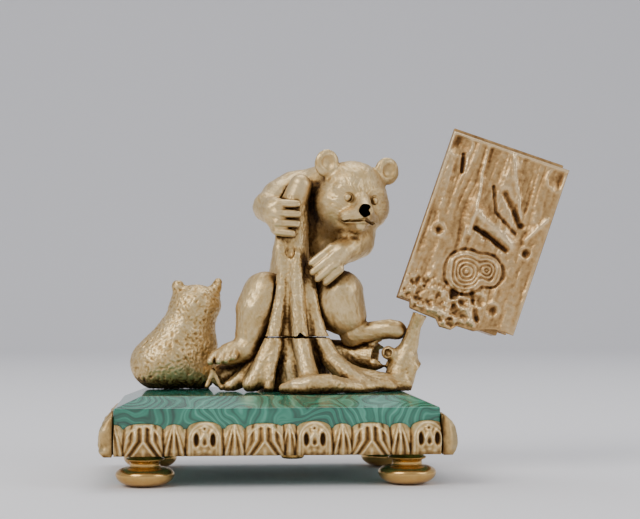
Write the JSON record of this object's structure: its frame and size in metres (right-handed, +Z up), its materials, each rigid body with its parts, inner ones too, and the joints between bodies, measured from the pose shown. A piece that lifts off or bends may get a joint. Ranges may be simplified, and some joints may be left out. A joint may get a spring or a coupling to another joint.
{
  "type": "bear figure match holder",
  "caption": "Cast bronze bear hugging a tree trunk, a cub behind it and a slanted holder for a box of matches, on a stone slab with a leaf border and bun feet.",
  "frame": {"origin": "middle of the bounding box, at the undersides of the feet", "axes": "+X to the right along the length of the slab, towards the holder; +Y away from the viewer; +Z up"},
  "size_m": [0.167, 0.0808, 0.1255],
  "materials": {
    "malachite": "polished banded malachite veneer on stone",
    "gilt_bronze": "rubbed gilding with brown hollows",
    "turned_gilt": "turned and gilt, smooth",
    "brown_gilt": "worn gilding over brown, matt"
  },
  "bodies": {
    "root": {"malachite_slab": "malachite", "border_strip_front": "gilt_bronze", "border_strip_back": "gilt_bronze", "border_strip_left": "gilt_bronze", "border_strip_right": "gilt_bronze", "tree_roots": "gilt_bronze", "tree_trunk": "gilt_bronze", "bear": "gilt_bronze", "cub": "gilt_bronze", "bun_foot_front_left": "turned_gilt", "bun_foot_front_right": "turned_gilt", "bun_foot_back_left": "turned_gilt", "bun_foot_back_right": "turned_gilt", "fixing_nut": "turned_gilt", "matchbox_front_plate": "brown_gilt", "matchbox_back_plate": "brown_gilt"}
  },
  "joints": []
}
